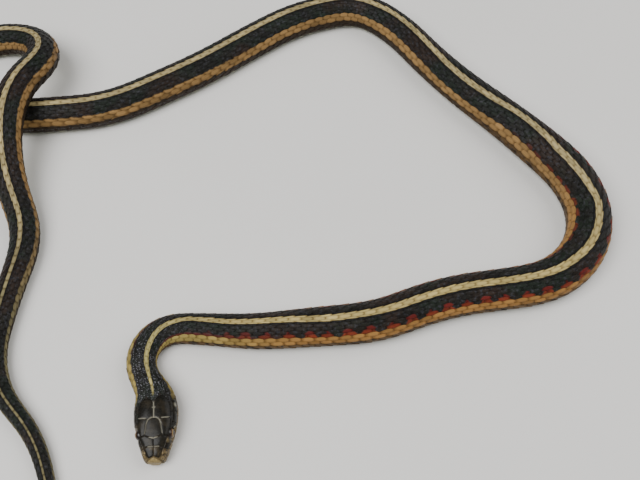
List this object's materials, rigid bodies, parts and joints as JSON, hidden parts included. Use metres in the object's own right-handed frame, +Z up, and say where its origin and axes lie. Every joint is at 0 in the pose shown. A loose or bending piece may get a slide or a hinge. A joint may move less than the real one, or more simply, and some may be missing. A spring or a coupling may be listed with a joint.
{
  "type": "common garter snake",
  "caption": "Life-size common garter snake, a slim striped snake lying in loose bends with one coil crossed over itself.",
  "frame": {"origin": "middle of the footprint, on the floor under the belly", "axes": "+Z up, the snout points towards -Y, and +X runs towards the first wide bend of the trunk"},
  "size_m": [0.2026, 0.1896, 0.0193],
  "materials": {
    "head_shields": "smooth glossy black-brown shields with thin pale seams",
    "chin_shields": "smooth yellowish tan shields",
    "eye": "dark glossy eye with a thin gold ring round the pupil",
    "body_scales": "keeled black scales with cream back stripe, yellow side stripes and red bars"
  },
  "bodies": {
    "root": {"head": "head_shields", "lower_jaw": "chin_shields", "eye_left": "eye", "eye_right": "eye", "neck_front": "body_scales", "neck_rear": "body_scales", "trunk_01": "body_scales", "trunk_02": "body_scales", "trunk_03": "body_scales", "trunk_04": "body_scales", "trunk_05": "body_scales", "trunk_06": "body_scales", "trunk_07": "body_scales", "trunk_08": "body_scales", "trunk_09": "body_scales", "trunk_10": "body_scales", "trunk_11": "body_scales", "trunk_12": "body_scales", "trunk_13": "body_scales", "trunk_14": "body_scales", "trunk_15": "body_scales", "trunk_16": "body_scales", "trunk_17": "body_scales", "trunk_18": "body_scales", "trunk_19": "body_scales", "tail_1": "body_scales", "tail_2": "body_scales", "tail_3": "body_scales", "tail_4": "body_scales", "tail_5": "body_scales", "tail_6": "body_scales"}
  },
  "joints": []
}
